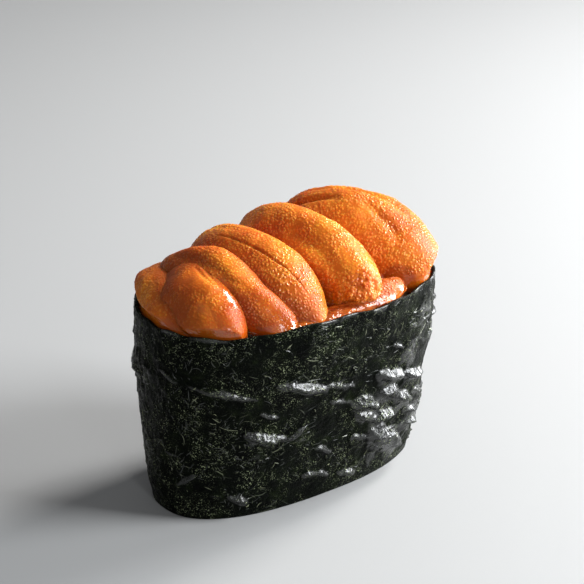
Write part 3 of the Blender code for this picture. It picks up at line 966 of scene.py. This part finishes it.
# %% Lobe surface
def window(share, start, end):
    """Rises from 0 to 1 and falls again: sin(pi (s - start) / (end - start))^0.7 between its ends."""
    place = np.clip((share - start) / (end - start), 0, 1)
    return np.sin(np.pi * place) ** 0.7


def groove_depth(angle, share, grooves):
    """Sum of d * exp(-((v - v0 - k s) / w)^2) along each groove's stretch of the lobe."""
    total = 0 * angle
    for place, depth, width, start, end, drift in grooves:
        offset = (angle - place - drift * (share - start)) / width
        total = total + depth * np.exp(-(offset**2)) * window(share, start, end)
    return total


def lobe_grid(
    line, half_width, half_thickness, roll,
    lean=0.0, grooves=(), front=BACK_POWER, tear=0.0, rings=LOBE_RINGS, sides=LOBE_SIDES
):
    """Rings c(s) + R (a cos v + l b sin^2 v) + O b sin v |sin v|^0.2, tapered by (1 - |2s-1|^p)^(1/2.2)."""
    even = np.linspace(0, 1, rings)
    share = 0.45 * even + 0.55 * (1 - np.cos(np.pi * even)) / 2
    share = np.clip(share, 0.0004, 0.9996)
    centre = smooth_line(line, share) * MM
    along = unit(np.gradient(centre, axis=0))
    side = unit(np.cross(np.array([0.0, 0.0, 1.0]), along))
    up = np.cross(along, side)
    turn = math.radians(roll)
    right = side * math.cos(turn) + up * math.sin(turn)
    over = up * math.cos(turn) - side * math.sin(turn)
    even_round = np.linspace(0, 2 * np.pi, sides, endpoint=False)[None, :]
    angle = even_round + 0.4 * np.cos(even_round)
    share = share[:, None]
    power = np.where(share > 0.5, front, BACK_POWER)
    taper = (1 - np.abs(2 * share - 1) ** power) ** (1 / 2.2)
    swell = 1 + 0.04 * np.sin(5 * share * np.pi + 3 * angle + roll)
    dip = groove_depth(angle, share, grooves) * taper
    crest = np.sin(angle) * np.abs(np.sin(angle)) ** 0.2
    leaning = lean * half_thickness * np.maximum(np.sin(angle), 0) ** 2
    across = (half_width * np.cos(angle) * swell + leaning) * taper - dip * np.cos(angle)
    rise = half_thickness * taper * swell * crest - dip * np.sin(angle)
    plain = centre[:, None] + (right[:, None] * across[..., None] + over[:, None] * rise[..., None]) * MM
    return plain, np.clip((share - TEAR_START) / TEAR_RUN, 0, 1) * tear


def keep_inside(points):
    """Scales level distance by l/n where the oval's own norm n passes l, which opens above the rim."""
    wall = 1 - (BAND_WALL + 0.1 * MM) / RIM[1]
    above = np.clip((points[..., 2] - BAND_HEIGHT - 0.2 * MM) / (3.5 * MM), 0, 1)
    allowed = wall + OVERHANG * above * above * (3 - 2 * above)
    share = np.clip(points[..., 2] / BAND_HEIGHT, 0, 1)
    half_length, half_width, shift = (three_level(*levels, share) for levels in zip(FOOT, WAIST, RIM))
    x = points[..., 0]
    y = points[..., 1] - shift
    norm = (np.abs(x / half_length) ** OVAL_POWER + np.abs(y / half_width) ** OVAL_POWER) ** (1 / OVAL_POWER)
    scale = np.minimum(1, allowed / np.maximum(norm, 1e-6))
    return np.stack([x * scale, y * scale + shift, points[..., 2]], axis=-1)


def wetness(points):
    """Wet paths: exp(-(d / w)^2), d from the path, and juice below a ragged level at the rim."""
    rim_level = (JUICE_LEVEL_MM + 1.2 * layered_noise(points, 3 * MM, 77, 2)) * MM
    total = np.clip((rim_level - points[..., 2]) / (0.8 * MM), 0, 1)
    for path, width in WET_PATHS:
        stations = np.array(path) * MM
        for start, end in zip(stations[:-1], stations[1:]):
            run = end - start
            along = np.clip(((points - start) @ run) / (run @ run), 0, 1)
            distance = np.linalg.norm(points - start - along[..., None] * run, axis=-1) / (width * MM)
            total = np.maximum(total, np.exp(-(distance**2)))
    return total


def closeness(points, own_name):
    """How near other lobes are, for painted shade: (1.3 - d / r) / 0.35, d from a neighbour's line and r its
    half width.
    """
    total = np.zeros(points.shape[:2])
    for name, measures in LOBES.items():
        if name == own_name:
            continue
        for station in smooth_line(measures["line"], np.linspace(0.04, 0.96, 24)) * MM:
            distance = np.linalg.norm(points - station, axis=-1) / (measures["half_width"] * MM)
            total = np.maximum(total, np.clip((1.30 - distance) / 0.35, 0, 1))
    return total


def raise_skin(plain, tear, grain, seed):
    """Swells of 6 mm, folds of 3 mm and a torn tip, then beads of height g * sqrt(1 - (d/r)^2)."""
    swells = layered_noise(plain, 6 * MM, seed, 2) * 0.36 * MM
    folds = (np.abs(layered_noise(plain, 3.2 * MM, seed + 9, 2)) - 0.25) * 0.22 * MM
    ragged = layered_noise(plain, 1.3 * MM, seed + 15, 3) * MM * tear
    body = keep_inside(plain + grid_normals(plain) * (swells + folds + ragged)[..., None])
    distance = cell_noise(plain, GRAIN_SPACING, seed + 20)
    bead = np.sqrt(np.clip(1 - (distance / BEAD_SHARE) ** 2, 0, 1))
    uneven = np.clip(0.62 + 0.45 * value_noise(plain, 2.2 * MM, seed + 31), 0.15, 1)
    wet = wetness(body)
    tips = bead * uneven * (1 - 0.8 * wet)
    return body + grid_normals(body) * (tips * grain * BEAD_HEIGHT)[..., None], tips * min(grain, 1), wet


# %% [markdown]
# Urchin is translucent: light goes in and comes out deeper orange, so folds glow instead of going
# black. The colour shifts from ochre yellow to burnt orange over a few millimetres. The mesh tells the
# finish three more things through attributes: the tips of the grains are shinier than the hollows
# between them and get a painted highlight, a paler orange, while the hollows get painted shade; skin
# that touches another lobe gets painted shade, a deep red; and wet skin has a clear coat of juice.

# %% Urchin finish
FLESH_DEPTH = (0.0018, 0.0005, 0.0002)
# Painted highlight: the pale orange that lightens the grain tips.
TIP_HIGHLIGHT_COLOUR = (0.95, 0.47, 0.12)
# Painted shade: the deep red that skin near another lobe is darkened towards.
GAP_SHADE_COLOUR = (0.34, 0.052, 0.003)
# Painted shade: the tint that darkens and reddens the hollows between the grains.
HOLLOW_SHADE_TINT = (0.80, 0.62, 0.50)


def urchin_finish():
    """Grainy orange flesh: painted shade in the hollows, painted highlights on the grain tips, painted shade
    between lobes and a clear wet coat.
    """
    material, tree, shader, coordinates = new_finish("sea_urchin")
    drift = ramp_node(tree, noise_node(tree, coordinates, 130, 3), [
        (0.32, (0.58, 0.120, 0.007)),
        (0.50, (0.74, 0.215, 0.014)),
        (0.68, (0.86, 0.325, 0.024)),
    ])
    bead = attribute_node(tree, "tip")
    # Painted shade: the hollows between the grains are darkened and reddened.
    hollow_shade = mix_colours(tree, 1.0, drift, HOLLOW_SHADE_TINT, "MULTIPLY")
    flesh = mix_colours(tree, ramp_node(tree, bead, [(0.0, grey(0)), (0.35, grey(1))]), hollow_shade, drift)
    # Painted shade: skin near another lobe is darkened towards a deep red.
    gap_shade = ramp_node(tree, attribute_node(tree, "gap_shade"), [(0.1, grey(0)), (0.9, grey(0.72))])
    shaded = mix_colours(tree, gap_shade, flesh, GAP_SHADE_COLOUR)
    # Painted highlight: the grain tips are lightened towards a pale orange.
    tip_highlight = ramp_node(tree, bead, [(0.55, grey(0)), (0.98, grey(0.30))])
    link(tree, mix_colours(tree, tip_highlight, shaded, TIP_HIGHLIGHT_COLOUR), shader.inputs["Base Color"])
    set_subsurface(shader, 0.5, FLESH_DEPTH)
    uneven = ramp_node(tree, noise_node(tree, coordinates, 350, 3), [(0.35, grey(0)), (0.65, grey(0.14))])
    slick = ramp_node(tree, bead, [(0.15, grey(0.40)), (0.60, grey(0.12))])
    juicy = attribute_node(tree, "wet")
    roughness = mix_colours(tree, juicy, arithmetic(tree, "ADD", uneven, slick), grey(0.07))
    link(tree, roughness, shader.inputs["Roughness"])
    link(tree, ramp_node(tree, juicy, [(0.2, grey(0)), (0.7, grey(1))]), shader.inputs["Coat Weight"])
    shader.inputs["Coat Roughness"].default_value = 0.06
    gloss = ramp_node(tree, bead, [(0.1, grey(0.28)), (0.8, grey(0.95))])
    link(tree, gloss, shader.inputs["Specular IOR Level"])
    grit = arithmetic(tree, "MULTIPLY", noise_node(tree, coordinates, 4200, 2), 0.3)
    bump_node(tree, shader, arithmetic(tree, "ADD", bead, grit), 0.07 * MM)
    return material


def wet_finish():
    """Juice and crushed roe: the urchin's deep brown orange under a mirror-smooth wet film."""
    material, tree, shader, coordinates = new_finish("wet_roe")
    depth = ramp_node(tree, noise_node(tree, coordinates, 300, 4), [
        (0.38, (0.16, 0.022, 0.003)),
        (0.62, (0.52, 0.115, 0.013)),
    ])
    link(tree, depth, shader.inputs["Base Color"])
    shader.inputs["Roughness"].default_value = 0.08
    set_subsurface(shader, 0.4, FLESH_DEPTH)
    bump_node(tree, shader, noise_node(tree, coordinates, 700, 3), 0.6 * MM)
    return material


# %% Lay the lobes
def laid_lobe(grain, seed, **body):
    """One lobe's points with its skin raised, and the maps of its grain tips and its wetness."""
    plain, tear = lobe_grid(**body)
    return raise_skin(plain, tear, grain, seed)


urchin_material = urchin_finish()
for lobe_name, measures in LOBES.items():
    skin, tip_map, wet_map = laid_lobe(**measures)
    # The third map is how near the other lobes are, which the finish paints as shade.
    maps = {"tip": tip_map, "wet": wet_map, "gap_shade": closeness(skin, lobe_name)}
    piece_name = lobe_name.replace("lobe", "urchin")
    add_piece(piece_name, skin, urchin_material, [lobe_name], maps, caps=True)
wet_skin, _, _ = laid_lobe(**WET_EDGE)
add_piece("urchin_wet_edge", wet_skin, wet_finish(), caps=True)

# %% [markdown]
# ## Close

# %% Finish
bpy.context.view_layer.update()
